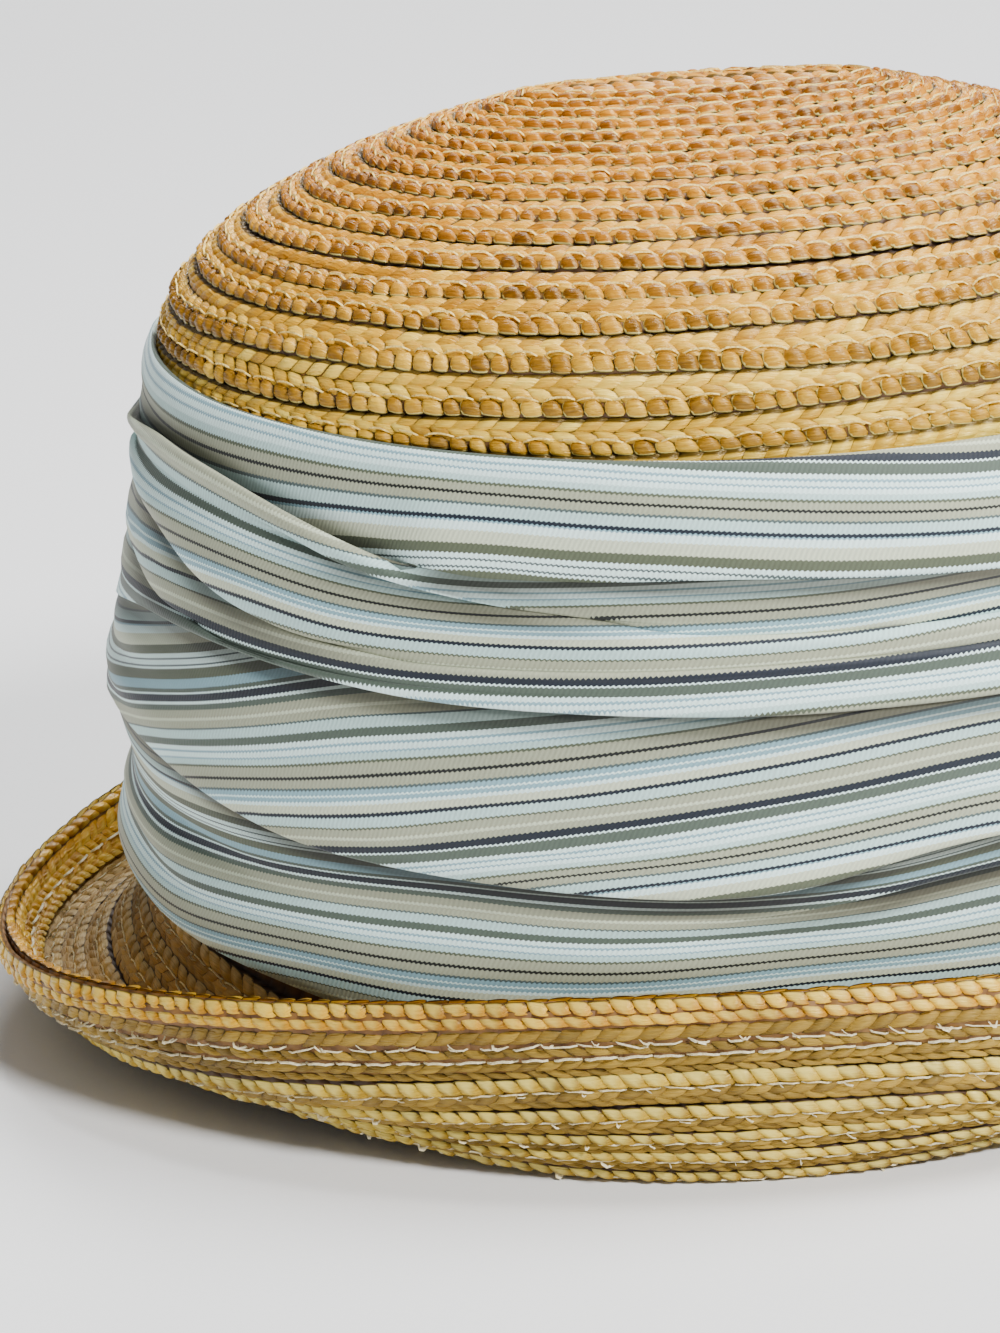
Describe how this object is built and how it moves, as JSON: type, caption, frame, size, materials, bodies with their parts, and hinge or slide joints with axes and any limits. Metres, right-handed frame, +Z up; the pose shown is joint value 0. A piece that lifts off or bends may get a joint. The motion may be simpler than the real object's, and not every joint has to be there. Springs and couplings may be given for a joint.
{
  "type": "straw cloche hat",
  "caption": "Cloche hat of sewn straw plait with a deep oval crown, a brim turned up at the sides and a wide folded cloth sash.",
  "frame": {"origin": "bottom centre of the hat, on the surface that its brim rests on", "axes": "+Z up through the crown's tip, +X to the front of the head, -X to the back, where the sash's ends are tacked, +Y and -Y to the sides where the brim is turned up"},
  "size_m": [0.2674, 0.1952, 0.1594],
  "materials": {
    "straw": "glossy natural wheat straw plait",
    "rim_straw": "natural wheat straw plait, a little darker",
    "cloth": "fine ribbed woven cloth in pale blue, sage and beige stripes"
  },
  "bodies": {
    "root": {"crown": "straw", "brim": "straw", "rim_row": "rim_straw", "sash": "cloth"}
  },
  "joints": []
}
